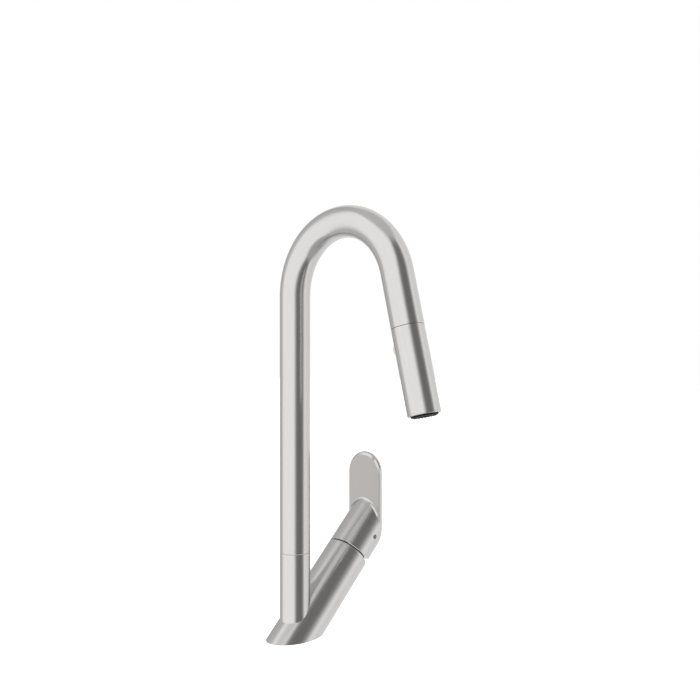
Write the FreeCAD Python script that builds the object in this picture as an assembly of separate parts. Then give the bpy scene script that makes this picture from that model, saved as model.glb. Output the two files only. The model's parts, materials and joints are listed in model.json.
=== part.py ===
import FreeCAD, Part
import math
import os
from FreeCAD import Placement, Rotation, Vector

# Single-hole kitchen faucet with a pull-down spray head, in millimetres and degrees.
# +Z is up, the worktop is at z = 0 and the spout's upright limb stands on the Z axis.
# The spout reaches towards -Y, where the user stands, and the barrel with its handle leans to +X.

os.makedirs("parts", exist_ok=True)

# Driving dimensions of the outside
tube_r = 15.0           # spout tube, stub and spray head
tube_wall = 1.5
barrel_wall = 4.8       # around the cartridge
lean = 47.0             # the barrel's lean from the vertical
barrel_length = 102.1   # from the worktop along the barrel's axis to its top face
stub_top = 83.2         # height of the swivel seam
bend_start = 335.5      # height where the spout's bend begins
bend_radius = 67.0      # of the bend's centre line
bend_angle = 166.2
outlet_straight = 50.4  # straight tube after the bend
head_length = 78.2      # spray head's shell

# Gaps and fits
seam_gap = 0.5          # between stub and spout
head_gap = 0.3          # between spout and spray head
handle_gap = 1.35       # between barrel and handle cap
running = 0.06          # radial clearance of a turning or sliding fit
free_gap = 0.3          # clearance between parts that move past each other
edge_break = 0.4        # chamfer on a visible rim

# Hose and water ports
hose_r = 5.5
hose_clearance = 0.8    # around the hose where it passes through the body
hose_split = 2.0        # from the bend's end to where the drawn-out stretch starts
hose_grip = 6.5         # length of hose inside its coupling
port_wall = 0.6         # between the hose's way and a port
port_r = 3.4
port_depth = 8.0
nipple_bore = 2.2
nipple_reach = 12.0
duct_r = 2.6

# Foot and fixing to the worktop
shank_wall = 2.5
shank_length = 62.0     # below the worktop
shank_socket = 14.0     # depth screwed into the foot
deck_thickness = 30.0
seal_edge = 2.1         # foot seal's groove inside the foot's edge
seal_width = 2.2
seal_height = 1.8
gasket_margin = 2.0     # gasket and washer past the nut
gasket_height = 3.0
washer_height = 2.0
nut_wall = 10.5
nut_height = 12.0
clamp_screw_r = 2.5
clamp_screw_offset = 5.2
clamp_screw_head = 5.0
clamp_screw_count = 3
screw_slot_length = 8.0
screw_slot_width = 1.0
screw_slot_depth = 1.2

# Swivel post
post_wall = 3.0
post_socket = 23.0      # depth screwed into the stub
post_length = 70.0
bearing_wall = 0.65
bearing_height = 6.0
bearing_inset = 7.0     # from the seam to the lower bearing, and from the liner's top to the upper
liner_wall = 1.59
liner_length = 45.0
liner_lift = 0.2        # liner's foot above the tube's
thrust_height = 0.4
thrust_edge = 0.6       # thrust ring inside the stub's edge
groove_offset = 16.0    # middle of the stop groove, above the seam
groove_depth = 1.4
groove_half_height = 1.8
swivel_limit = 60.0
stop_tip_r = 1.3
stop_screw_r = 2.0
stop_screw_sink = 0.3
stop_socket = 2.0       # depth of the stop screw's hexagon
clip_height = 1.5
clip_depth = 0.8
clip_proud = 1.6
friction_offset = 6.0   # friction ring above the stop groove
friction_height = 1.5

# Ceramic cartridge. Depths are down from the barrel's top face, along its axis.
cartridge_r = 17.4
cartridge_depth = 30.1
base_height = 7.0
fixed_disc_height = 3.5
moving_disc_height = 3.5
disc_film = 0.05        # between the two ceramic discs
disc_margin = 3.0       # moving disc inside its housing when centred
moving_disc_rest = 2.3  # disc's centre is this far from the axis when shut
mixing_r = 6.0          # hollow under the moving disc
mixing_offset = 1.0
mixing_depth = 1.6
carrier_margin = 1.0
housing_wall = 1.8
housing_depth = 6.1
housing_neck_wall = 2.14
housing_neck_depth = 1.6
rotor_flange_height = 2.2
rotor_float = 0.1
rotor_neck_r = 9.6
rotor_rise = 7.3        # above the barrel's top face
base_port_back = 5.5    # cold and hot ports above the cartridge's axis
base_port_side = 6.6    # and to either side of it
base_port_front = 7.0   # mixed port below the axis
seal_ring_r = 4.4
seal_ring_bore = 3.0
seal_ring_height = 1.4
nut_clearance = 0.4     # between the cartridge nut and the housing's neck
nut_slot = 4.0
nut_slot_depth = 2.0
nut_slot_reach = 1.5
dome_inset = 0.1        # dome cover inside the barrel's bore
dome_wall = 1.1
dome_open = 39.0        # half angle of the hole at the dome's top

# Lever and handle
spindle_half = 3.5
spindle_height = 27.5   # above the pivot
spindle_tail = 5.0      # square part below the pivot
arm_r = 2.3
ball_r = 2.9
ball_reach = 14.05      # from the pivot down to the ball's centre
socket_r = 3.25
pin_r = 1.5
pin_inset = 0.6
lift_limit = 20.0
cap_clearance = 1.0     # between the dome cover and the cap's hollow
cap_cut = 21.0          # slope of the relief under the cap
paddle_offset = 24.34   # from the pivot to the paddle's inner face
paddle_thickness = 6.5
paddle_rise = 101.45    # top of the paddle's inner face above the pivot
paddle_round = 3.0
paddle_bevel = 1.5
paddle_fillet = 4.0     # between the cap and the paddle's inner face
grub_r = 2.5
grub_length = 17.6
grub_offset = 24.0      # above the pivot
grub_hexagon = 1.25     # half across the flats
grub_socket = 2.0

# Spray head, as distances below its top face
shell_wall = 1.6
shell_lip = 0.9         # the bottom rim turns in by this much
shell_lip_height = 1.6
shell_top_height = 2.0
coupling_wall = 2.1
coupling_length = 16.0
coupling_bore = 2.6
neck_wall = 1.0         # head's neck past its coupling
neck_length = 16.0
collar_length = 24.0
collar_clearance = 0.35
collar_top = 1.0        # collar's foot above the seam
core_fit = 0.2          # keeper ring around the neck, and flange inside the shell
valve_wall = 2.8
valve_length = 9.0
valve_inset = 3.0
valve_pocket = 4.0
waterway_r = 4.0
chamber_wall = 2.7
chamber_height = 21.0
magnet_height = 4.0
magnet_inset = 1.3      # magnet outside the neck
magnet_cover = 0.9      # magnet inside the collar
magnet_depth = 2.0
keeper_height = 2.0
keeper_gap = 0.4
button_offset = 17.2
button_r = 5.2
button_proud = 2.2
button_travel = 1.6
button_plate = 2.6
button_edge = 1.0
spring_r = 3.6
spring_wire_r = 0.3
spring_turns = 3
spring_space = 2.6      # under the pressed button
spool_r = 3.6
spool_reach = 6.0
spool_land = 3.0
spool_stem_r = 1.6
spool_waist = 5.0
face_depth = 8.2        # inside the shell
face_proud = 1.5
face_edge = 0.6
nozzle_r = 0.75
nozzle_bore = 0.3
nozzle_taper = 0.25
nozzle_proud = 0.6
nozzle_inset = 2.6      # nozzle circle inside the face's edge
nozzle_count = 20
aerator_inset = 6.0     # aerator's edge inside the face's edge
aerator_sink = 1.0
aerator_edge = 0.8
aerator_hole_r = 0.5
aerator_pitch = 1.7
aerator_rows = 3        # to either side of the middle row
gasket_wall = 2.2
face_gasket_height = 4.0

# Sizes that follow from the ones above
cartridge_bore = cartridge_r + free_gap
barrel_r = cartridge_bore + barrel_wall
tube_bore = tube_r - tube_wall
post_r = tube_bore - liner_wall - running - bearing_wall
post_bore = post_r - post_wall
hose_bore = hose_r + hose_clearance
port_circle = hose_bore + port_wall + port_r
shank_bore = port_circle + port_r + free_gap
shank_r = shank_bore + shank_wall
nut_r = shank_r + nut_wall
gasket_r = nut_r + gasket_margin
clamp_screw_circle = shank_r + clamp_screw_offset
seal_outer = barrel_r - seal_edge
seal_inner = seal_outer - seal_width
cartridge_floor = barrel_length - cartridge_depth
housing_top = barrel_length - housing_depth
housing_neck_top = barrel_length - housing_neck_depth
housing_bore = cartridge_r - housing_wall
housing_neck_r = rotor_neck_r + running + housing_neck_wall
nut_bore = housing_neck_r + nut_clearance
rotor_top = barrel_length + rotor_rise
moving_disc_r = housing_bore - disc_margin
carrier_r = moving_disc_r - carrier_margin
pin_half = rotor_neck_r - pin_inset
dome_r = cartridge_bore - dome_inset
cap_cavity_r = dome_r + cap_clearance
coupling_r = hose_r + coupling_wall
neck_r = coupling_r + neck_wall
valve_r = neck_r - valve_wall
magnet_inner = neck_r + magnet_inset
magnet_outer = tube_bore - magnet_cover
shell_bore = tube_r - shell_wall
shell_lip_bore = shell_bore - shell_lip
core_r = shell_bore - free_gap
face_r = shell_lip_bore - free_gap
face_flange = shell_bore - core_fit
face_start = head_length - face_depth
core_end = face_start - face_gasket_height
nozzle_circle = face_r - nozzle_inset
aerator_r = face_r - aerator_inset

# Room for cutting shapes that reach past the whole faucet
past = 300.0


# Shapes

def turned(profile):
    """A solid turned about Z from a closed outline of (radius, height) corners."""
    points = [Vector(radius, 0, height) for radius, height in profile]
    face = Part.Face(Part.makePolygon(points + points[:1]))
    return face.revolve(Vector(0, 0, 0), Vector(0, 0, 1), 360)


def rod(radius, low, high, x=0.0, y=0.0):
    return Part.makeCylinder(radius, high - low, Vector(x, y, low))


def ring(inner, outer, low, high):
    return turned([(inner, low), (outer, low), (outer, high), (inner, high)])


def broken_rod(radius, low, high, low_break, high_break):
    """A rod whose two rims are chamfered by the given amounts."""
    return turned([
        (0, low), (radius - low_break, low), (radius, low + low_break),
        (radius, high - high_break), (radius - high_break, high), (0, high),
    ])


def block(x_low, x_high, y_low, y_high, z_low, z_high):
    corner = Vector(x_low, y_low, z_low)
    return Part.makeBox(x_high - x_low, y_high - y_low, z_high - z_low, corner)


def moved(shape, frame):
    shape = shape.copy()
    shape.Placement = frame.multiply(shape.Placement)
    return shape


def joined(first, *others):
    return first.fuse(list(others)).removeSplitter()


def group(shapes):
    return Part.makeCompound(list(shapes))


def save(node, shape):
    solids = shape.Solids
    if not solids or not shape.isValid() or min(s.Volume for s in solids) <= 0:
        raise ValueError(node + " isn't a sound closed solid")
    shape.exportStep("parts/" + node + ".step")


# Frames. Local z runs along the barrel, or down out of the spout.
barrel_frame = Placement(Vector(0, 0, 0), Rotation(Vector(0, 1, 0), lean))
turn = math.radians(bend_angle)
outlet_way = Vector(0, -math.sin(turn), math.cos(turn))
bend_end = Vector(
    0, -bend_radius * (1 - math.cos(turn)), bend_start + bend_radius * math.sin(turn)
)
head_top = bend_end + outlet_way * outlet_straight
head_frame = Placement(head_top, Rotation(Vector(1, 0, 0), bend_angle))
pivot_s = barrel_length + handle_gap
pivot = barrel_frame.multVec(Vector(0, 0, pivot_s))
paddle_inner_x = pivot.x + paddle_offset
paddle_outer_x = paddle_inner_x + paddle_thickness
paddle_top = pivot.z + paddle_rise


def along_barrel(shape):
    return moved(shape, barrel_frame)


def at_head(shape):
    return moved(shape, head_frame)


def bent_rod(radius, start, straight, inner=0.0):
    """A rod or tube up from z = start, round the bend and straight on for a length."""
    face = Part.Face(Part.Wire(Part.makeCircle(radius, Vector(0, 0, start))))
    if inner:
        hole = Part.Face(Part.Wire(Part.makeCircle(inner, Vector(0, 0, start))))
        face = face.cut(hole).Faces[0]
    upright = face.extrude(Vector(0, 0, bend_start - start))
    face.translate(Vector(0, 0, bend_start - start))
    centre = Vector(0, -bend_radius, bend_start)
    bend = face.revolve(centre, Vector(1, 0, 0), bend_angle)
    face.rotate(centre, Vector(1, 0, 0), bend_angle)
    return joined(upright, bend, face.extrude(outlet_way * straight))


# Fixed body

def body_casting():
    foot_reach = barrel_r * math.tan(math.radians(lean)) + 1
    barrel = along_barrel(broken_rod(barrel_r, -foot_reach, barrel_length, 0, edge_break))
    below = block(-past, past, -past, past, -past, 0)
    stub = broken_rod(tube_r, 0, stub_top, 0, edge_break)
    body = joined(barrel.cut(below), stub)
    cavity = rod(cartridge_bore, cartridge_floor, barrel_length + 1)
    cuts = [along_barrel(cavity)]
    cuts.append(rod(post_r, stub_top - post_socket, stub_top + 1))
    cuts.append(rod(hose_bore, -1, stub_top))
    cuts.append(rod(shank_r, -1, shank_socket))
    cuts.append(foot_groove())
    for x, y in port_places():
        cuts.append(rod(port_r, shank_socket - 1, shank_socket + port_depth, x, y))
    cuts += ducts()
    return body.cut(cuts)


def foot_groove():
    """Oval groove in the foot: a ring about the barrel's axis, cut level."""
    tall = along_barrel(ring(seal_inner, seal_outer, -past, past))
    return tall.common(block(-past, past, -past, past, 0, seal_height))


def port_places():
    """Cold, hot and mixed ports under the body."""
    return [(0, port_circle), (0, -port_circle), (port_circle, 0)]


def base_ports():
    """Where the same three waterways meet the cartridge, across the barrel's axis."""
    return [
        (-base_port_back, base_port_side), (-base_port_back, -base_port_side), (base_port_front, 0),
    ]


def ducts():
    """Drilled waterways from the ports to the cartridge."""
    found = []
    for (x, y), (u, v) in zip(port_places(), base_ports()):
        start = Vector(x, y, shank_socket + port_depth - 1)
        end = barrel_frame.multVec(Vector(u, v, cartridge_floor + 1))
        way = end - start
        found.append(Part.makeCylinder(duct_r, way.Length, start, way))
    return found


def shank():
    low = -shank_length
    return turned([
        (shank_bore, low), (shank_r - 1, low), (shank_r, low + 1),
        (shank_r, shank_socket), (shank_bore, shank_socket),
    ])


def clamp_parts():
    hole = shank_r + free_gap
    gasket_low = -deck_thickness - gasket_height
    washer_low = gasket_low - washer_height
    nut_top = washer_low - clamp_screw_head
    nut_low = nut_top - nut_height
    gasket = ring(hole, gasket_r, gasket_low, -deck_thickness)
    washer = ring(hole, gasket_r, washer_low, gasket_low)
    nut = ring(shank_r, nut_r, nut_low, nut_top)
    places = [
        Rotation(Vector(0, 0, 1), 360 / clamp_screw_count * k).multVec(
            Vector(clamp_screw_circle, 0, 0)
        )
        for k in range(clamp_screw_count)
    ]
    screws = []
    for place in places:
        nut = nut.cut(rod(clamp_screw_r, nut_low - 1, nut_top + 1, place.x, place.y))
        screw = rod(clamp_screw_r, nut_low - clamp_screw_head, washer_low, place.x, place.y)
        slot = block(
            -screw_slot_length / 2, screw_slot_length / 2, -screw_slot_width / 2, screw_slot_width / 2,
            -1, screw_slot_depth,
        )
        slot.translate(Vector(place.x, place.y, nut_low - clamp_screw_head))
        screws.append(screw.cut(slot))
    return gasket, washer, nut, group(screws)


def nipples():
    found = []
    for x, y in port_places():
        low = shank_socket - nipple_reach
        tube = rod(port_r, low, shank_socket + port_depth - 1, x, y)
        found.append(tube.cut(rod(nipple_bore, low - 1, stub_top, x, y)))
    return found


# Swivel

def post_top():
    return stub_top - post_socket + post_length


def groove_z():
    return stub_top + groove_offset


def swivel_post():
    low = stub_top - post_socket
    post = ring(post_bore, post_r, low, post_top())
    track = ring(
        post_r - groove_depth, post_r + 1, groove_z() - groove_half_height,
        groove_z() + groove_half_height,
    )
    # The stop screw stands at +Y, and the groove lets it go as far as the swivel turns.
    tip_angle = math.degrees(math.asin(stop_tip_r / (post_r - groove_depth))) + 3
    span = 2 * (swivel_limit + tip_angle)
    sector = Part.makeCylinder(
        post_r + 2, 4 * groove_half_height, Vector(0, 0, groove_z() - 2 * groove_half_height),
        Vector(0, 0, 1), span,
    )
    sector.rotate(Vector(0, 0, 0), Vector(0, 0, 1), 90 - span / 2)
    clip_groove = ring(post_r - clip_depth, post_r + 1, clip_low(), clip_low() + clip_height)
    return post.cut([track.common(sector), clip_groove])


def liner_low():
    return stub_top + seam_gap + liner_lift


def liner_top():
    return liner_low() + liner_length


def clip_low():
    return liner_top() + free_gap


def post_bearings():
    outer = post_r + bearing_wall
    lows = [stub_top + bearing_inset, liner_top() - bearing_inset - bearing_height]
    return group(ring(post_r, outer, low, low + bearing_height) for low in lows)


def friction_ring():
    low = groove_z() + groove_half_height + friction_offset
    return ring(post_r, post_r + bearing_wall, low, low + friction_height)


def retaining_clip():
    return ring(post_r - clip_depth, post_r + clip_proud, clip_low(), clip_low() + clip_height)


def spout_liner():
    liner = ring(tube_bore - liner_wall, tube_bore, liner_low(), liner_top())
    return liner.cut(stop_screw_hole())


def stop_screw_hole():
    """Bore for the stop screw, from the back of the spout."""
    return Part.makeCylinder(stop_screw_r, tube_r, Vector(0, 0, groove_z()), Vector(0, 1, 0))


def stop_screw():
    thread_start = post_r + running + 0.5
    screw = Part.makeCylinder(
        stop_screw_r, tube_r - stop_screw_sink - thread_start, Vector(0, thread_start, groove_z()),
        Vector(0, 1, 0),
    )
    tip_start = post_r - groove_depth + free_gap
    tip = Part.makeCylinder(
        stop_tip_r, thread_start - tip_start, Vector(0, tip_start, groove_z()), Vector(0, 1, 0)
    )
    socket = hex_prism(stop_screw_r / 2, stop_socket)
    socket.rotate(Vector(0, 0, 0), Vector(1, 0, 0), -90)
    socket.translate(Vector(0, tube_r - stop_socket, groove_z()))
    return joined(screw, tip).cut(socket)


def hex_prism(across_half, length):
    """Hexagonal prism up from z = 0, by half its width across flats."""
    corner = across_half / math.cos(math.radians(30))
    points = [
        Vector(corner * math.cos(math.radians(60 * k)), corner * math.sin(math.radians(60 * k)), 0)
        for k in range(6)
    ]
    return Part.Face(Part.makePolygon(points + points[:1])).extrude(Vector(0, 0, length))


# Cartridge, built upright and then leaned over with the barrel

def base_top():
    return cartridge_floor + base_height


def disc_plane():
    return base_top() + fixed_disc_height


def carrier_low():
    return disc_plane() + disc_film + moving_disc_height


def rotor_low():
    return housing_top - housing_wall - rotor_float - rotor_flange_height


def cartridge_base():
    base = rod(cartridge_r, cartridge_floor, base_top())
    for u, v in base_ports():
        base = base.cut(rod(duct_r, cartridge_floor - 1, base_top() + 1, u, v))
        base = base.cut(rod(seal_ring_r, cartridge_floor - 1, cartridge_floor + seal_ring_height, u, v))
    return base


def port_seals():
    found = []
    for u, v in base_ports():
        seal = ring(seal_ring_bore, seal_ring_r, cartridge_floor, cartridge_floor + seal_ring_height)
        seal.translate(Vector(u, v, 0))
        found.append(seal)
    return group(found)


def fixed_disc():
    disc = rod(housing_bore, base_top(), disc_plane())
    return disc.cut([rod(duct_r, base_top() - 1, disc_plane() + 1, u, v) for u, v in base_ports()])


def moving_disc():
    low = disc_plane() + disc_film
    disc = rod(moving_disc_r, low, low + moving_disc_height, moving_disc_rest)
    return disc.cut(rod(mixing_r, low - 1, low + mixing_depth, moving_disc_rest + mixing_offset))


def disc_carrier():
    top = rotor_low() - free_gap
    carrier = rod(carrier_r, carrier_low(), top, moving_disc_rest)
    return carrier.cut(rod(socket_r, carrier_low() + free_gap, top + 1))


def cartridge_housing():
    neck_bore = rotor_neck_r + running
    return turned([
        (housing_bore, base_top()), (cartridge_r, base_top()), (cartridge_r, housing_top),
        (housing_neck_r, housing_top), (housing_neck_r, housing_neck_top),
        (neck_bore, housing_neck_top), (neck_bore, housing_top - housing_wall),
        (housing_bore, housing_top - housing_wall),
    ])


def rotor():
    flange_r = housing_bore - free_gap
    low = rotor_low()
    body = turned([
        (0, low), (flange_r, low), (flange_r, low + rotor_flange_height),
        (rotor_neck_r, low + rotor_flange_height), (rotor_neck_r, rotor_top), (0, rotor_top),
    ])
    slot_half = spindle_half + free_gap
    # The lever leans one way only, and the slot is as long as that lean needs at each end.
    reach = math.sin(math.radians(lift_limit)) * (pivot_s - low) + ball_r + 1.0
    top_reach = math.sin(math.radians(lift_limit)) * (rotor_top - pivot_s) + spindle_half + 0.8
    lower = block(-reach, spindle_half + 1.6, -slot_half, slot_half, low - 1, pivot_s)
    upper = block(-spindle_half - 1.6, top_reach, -slot_half, slot_half, pivot_s - 1, rotor_top + 1)
    return body.cut([lower, upper, spindle_pin()])


def spindle_pin():
    return Part.makeCylinder(pin_r, 2 * pin_half, Vector(0, -pin_half, pivot_s), Vector(0, 1, 0))


def lever_spindle():
    square = block(
        -spindle_half, spindle_half, -spindle_half, spindle_half,
        pivot_s - spindle_tail, pivot_s + spindle_height,
    )
    arm = rod(arm_r, pivot_s - ball_reach, pivot_s - spindle_tail + 1)
    ball = Part.makeSphere(ball_r, Vector(0, 0, pivot_s - ball_reach))
    hole = Part.makeCylinder(
        pin_r + running, 4 * spindle_half, Vector(0, -2 * spindle_half, pivot_s), Vector(0, 1, 0)
    )
    return joined(square, arm, ball).cut(hole)


def cartridge_nut():
    nut = ring(nut_bore, cartridge_bore, housing_top, barrel_length)
    slot = block(
        nut_bore - 1, nut_bore + nut_slot_reach, -nut_slot / 2, nut_slot / 2,
        barrel_length - nut_slot_depth, barrel_length + 1,
    )
    return nut.cut([
        moved(slot, Placement(Vector(0, 0, 0), Rotation(Vector(0, 0, 1), 90 * k))) for k in range(4)
    ])


def dome_cover():
    centre = Vector(0, 0, pivot_s)
    shell = Part.makeSphere(dome_r, centre).cut(Part.makeSphere(dome_r - dome_wall, centre))
    crown = pivot_s + dome_r * math.cos(math.radians(dome_open))
    band = block(-past, past, -past, past, barrel_length, crown)
    mouth = rod(dome_r * math.sin(math.radians(dome_open)), pivot_s, pivot_s + 2 * dome_r)
    return shell.common(band).cut(mouth)


# Handle

def handle():
    far = (paddle_outer_x + barrel_r) / math.sin(math.radians(lean))
    cap = along_barrel(broken_rod(barrel_r, pivot_s, far, edge_break, 0))
    cap = cap.common(block(0, paddle_outer_x, -past, past, 0, past))
    crown = paddle_top - barrel_r
    slant = Vector(paddle_thickness, 0, paddle_thickness / math.tan(math.radians(lean)))
    outline = paddle_outline(crown).extrude(slant)
    above_axis = along_barrel(block(-past, 0, -past, past, 0, past))
    solid = joined(cap, beveled(outline).common(above_axis))
    solid = filleted(solid)
    solid = rounded(solid)
    cavity = Part.makeSphere(cap_cavity_r, Vector(0, 0, pivot_s))
    relief = block(0, past, -past, past, -past, 0)
    relief.rotate(Vector(0, 0, 0), Vector(0, 1, 0), -cap_cut)
    relief.translate(Vector(0, 0, pivot_s))
    hold = spindle_half + running
    socket = block(-hold, hold, -hold, hold, pivot_s, pivot_s + spindle_height + 0.5)
    return solid.cut([along_barrel(cut) for cut in (cavity, relief, socket, grub_hole())])


def paddle_outline(crown):
    """The paddle's inner face: straight sides, and a half circle about the given height on top."""
    x, low = paddle_inner_x, pivot.z - barrel_r
    left, right = Vector(x, barrel_r, crown), Vector(x, -barrel_r, crown)
    arc = Part.Arc(left, Vector(x, 0, crown + barrel_r), right).toShape()
    foot = [Vector(x, -barrel_r, low), Vector(x, barrel_r, low)]
    return Part.Face(Part.Wire([arc] + Part.makePolygon([right, *foot, left]).Edges))


def filleted(solid):
    """Fills the corner where the cap runs into the paddle's inner face."""
    corner = [e for e in solid.Edges if isinstance(e.Curve, Part.Ellipse)]
    corner = [e for e in corner if abs(e.BoundBox.XMax - paddle_inner_x) < 1e-3]
    return solid.makeFillet(paddle_fillet, corner)


def rounded(solid):
    """Rounds the rim of the paddle's outer face."""
    rim = [e for e in solid.Edges if all(abs(v.X - paddle_outer_x) < 1e-4 for v in e.Vertexes)]
    rim = [e for e in rim if abs(e.CenterOfMass.x - paddle_outer_x) < 1e-3]
    return solid.makeFillet(paddle_round, rim)


def beveled(outline):
    """Chamfers the rim of the paddle's inner face."""
    rim = [e for e in outline.Edges if abs(e.BoundBox.XMax - paddle_inner_x) < 1e-3]
    rim = [e for e in rim if e.BoundBox.ZMax > pivot.z]
    return outline.makeChamfer(paddle_bevel, rim)


def grub_hole():
    return Part.makeCylinder(
        grub_r, 2 * barrel_r, Vector(0, 0, pivot_s + grub_offset), Vector(0, -1, 0)
    )


def set_screw():
    start = spindle_half + running
    screw = Part.makeCylinder(
        grub_r, grub_length, Vector(0, -start, pivot_s + grub_offset), Vector(0, -1, 0)
    )
    socket = hex_prism(grub_hexagon, grub_socket + 1)
    socket.rotate(Vector(0, 0, 0), Vector(1, 0, 0), 90)
    socket.translate(Vector(0, -start - grub_length + grub_socket, pivot_s + grub_offset))
    return screw.cut(socket)


# Spray head, built hanging down its own z axis. Its user side is +y and its back is -y.

def spout_tube():
    straight = outlet_straight - head_gap / 2
    tube = bent_rod(tube_r, stub_top + seam_gap, straight, tube_bore)
    return tube.cut(stop_screw_hole())


def outlet_collar():
    low = -collar_length
    bore = neck_r + collar_clearance
    collar = turned([
        (coupling_r + 3, low), (tube_bore, low), (tube_bore, -collar_top),
        (bore + 0.8, -collar_top), (bore, -collar_top - 1), (bore, low + 4),
    ])
    return collar.cut(docking_magnet())


def docking_magnet():
    return ring(magnet_inner, magnet_outer, -magnet_depth - magnet_height, -magnet_depth)


def head_shell():
    top = head_gap / 2
    shell = turned([
        (neck_r + free_gap, top), (tube_r - edge_break, top), (tube_r, top + edge_break),
        (tube_r, head_length - 2 * edge_break), (tube_r - 2 * edge_break, head_length),
        (shell_lip_bore, head_length), (shell_lip_bore, head_length - shell_lip_height),
        (shell_bore, head_length - shell_lip_height), (shell_bore, top + shell_top_height),
        (neck_r + free_gap, top + shell_top_height),
    ])
    return shell.cut(toward_back(button_r + free_gap, button_seat(), tube_r + 2))


def toward_back(radius, start, end):
    """A rod square to the head's axis at the button, between two distances from the axis."""
    return Part.makeCylinder(
        radius, end - start, Vector(0, -start, button_offset), Vector(0, -1, 0)
    )


def core_low():
    return head_gap / 2 + shell_top_height + keeper_height


def head_core():
    core = turned([
        (0, -neck_length), (neck_r, -neck_length), (neck_r, core_low()), (core_r, core_low()),
        (core_r, core_end), (0, core_end),
    ])
    chamber_low = core_end - chamber_height
    water = joined(
        rod(valve_r, -neck_length - 1, valve_pocket), rod(waterway_r, valve_pocket - 1, chamber_low + 1),
        rod(core_r - chamber_wall, chamber_low, core_end + 1),
    )
    well = toward_back(button_r + free_gap, button_seat(), core_r + 2)
    spool_bore = toward_back(spool_r + running, -spool_reach - button_travel - 2 * free_gap, core_r)
    return core.cut([water, well, spool_bore])


def button_seat():
    """Distance from the axis to the floor of the button's well."""
    return tube_r + button_proud - button_plate - button_travel - spring_space


def keeper_ring():
    low = head_gap / 2 + shell_top_height
    return ring(neck_r + core_fit, shell_bore - keeper_gap, low, core_low())


def check_valve():
    low = -neck_length + valve_inset
    top = low + valve_length
    return turned([(coupling_bore, low), (valve_r, low), (valve_r, top), (coupling_bore / 2 - 0.1, top)])


def coupling_parts():
    """Swivel nut that joins the hose to the head, and its washer."""
    low = -neck_length - coupling_length
    end = -neck_length
    nut = turned([
        (hose_r + 0.1, low), (coupling_r - 1.4, low), (coupling_r, low + 5), (coupling_r, end - 0.5),
        (coupling_r - 0.5, end), (coupling_bore, end), (coupling_bore, low + hose_grip + 0.5),
        (hose_r + 0.1, low + hose_grip + 0.5),
    ])
    washer = ring(coupling_bore, valve_r - 0.1, end, end + 2.0)
    return nut, washer


def spray_button():
    start = tube_r + button_proud - button_plate
    button = toward_back(button_r, start, tube_r + button_proud)
    rim = [e for e in button.Edges if abs(e.BoundBox.YMin + tube_r + button_proud) < 1e-3]
    rim = [e for e in rim if abs(e.BoundBox.YMax + tube_r + button_proud) < 1e-3]
    return button.makeFillet(button_edge, rim)


def diverter_spool():
    start = -spool_reach + keeper_gap
    end = tube_r + button_proud - button_plate
    return joined(
        toward_back(spool_r, start, -spool_land), toward_back(spool_stem_r, start, end),
        toward_back(spool_r, spool_waist, button_seat() - keeper_gap),
    )


def button_spring():
    low = button_seat()
    high = tube_r + button_proud - button_plate
    height = high - low - 2 * spring_wire_r
    helix = Part.makeHelix(height / spring_turns, height, spring_r)
    start = Vector(spring_r, 0, 0)
    upper = Part.makeCircle(spring_wire_r, start, Vector(0, 1, 0), 0, 180)
    lower = Part.makeCircle(spring_wire_r, start, Vector(0, 1, 0), 180, 360)
    coil = Part.Wire(helix).makePipeShell([Part.Wire([upper, lower])], True, True)
    coil.rotate(Vector(0, 0, 0), Vector(1, 0, 0), 90)
    coil.translate(Vector(0, -low - spring_wire_r, button_offset))
    return coil


def spray_face():
    low = face_start
    end = head_length + face_proud
    flange_end = head_length - shell_lip_height
    face = turned([
        (aerator_r, low), (face_flange, low), (face_flange, flange_end), (face_r, flange_end),
        (face_r, end - face_edge), (face_r - face_edge, end), (aerator_r + aerator_edge, end),
        (aerator_r, end - aerator_edge),
    ])
    return face.cut([rod(nozzle_r, low - 1, end + 1, p.x, p.y) for p in nozzle_places()])


def nozzle_places():
    step = 360 / nozzle_count
    first = Vector(nozzle_circle, 0, 0)
    return [Rotation(Vector(0, 0, 1), step * k).multVec(first) for k in range(nozzle_count)]


def spray_nozzles():
    end = head_length + face_proud
    found = []
    for place in nozzle_places():
        nozzle = turned([
            (nozzle_bore, face_start + 1), (nozzle_r, face_start + 1), (nozzle_r, end),
            (nozzle_r - nozzle_taper, end + nozzle_proud), (nozzle_bore, end + nozzle_proud),
        ])
        nozzle.translate(place)
        found.append(nozzle)
    return group(found)


def aerator():
    low = face_start
    end = head_length + face_proud - aerator_sink
    disc = rod(aerator_r, low, end)
    holes = []
    rows = range(-aerator_rows, aerator_rows + 1)
    for row in rows:
        for column in rows:
            x = aerator_pitch * (column + 0.5 * row)
            y = aerator_pitch * row * math.sin(math.radians(60))
            if math.hypot(x, y) < aerator_r - 1.0:
                holes.append(rod(aerator_hole_r, low - 1, end + 1, x, y))
    return disc.cut(holes)


def face_gasket():
    return ring(core_r - gasket_wall, core_r, core_end, face_start)


def hose_parts():
    """The hose inside the spout, and its last straight stretch above the head."""
    end = outlet_straight - neck_length - coupling_length + hose_grip
    whole = bent_rod(hose_r, -shank_length + 4, hose_split)
    start = bend_end + outlet_way * hose_split
    stretch = Part.makeCylinder(hose_r, end - hose_split, start, outlet_way)
    return whole, stretch


def hose_end_fitting():
    top = -shank_length + 4
    return turned([
        (0, top), (hose_r + 0.6, top), (hose_r + 0.6, top - 10), (hose_r - 0.6, top - 10),
        (hose_r - 0.6, top - 13), (hose_r + 0.6, top - 13), (hose_r + 0.6, top - 18),
        (hose_r - 0.4, top - 20), (2.2, top - 20), (2.2, top - 2), (0, top - 2),
    ])


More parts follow.
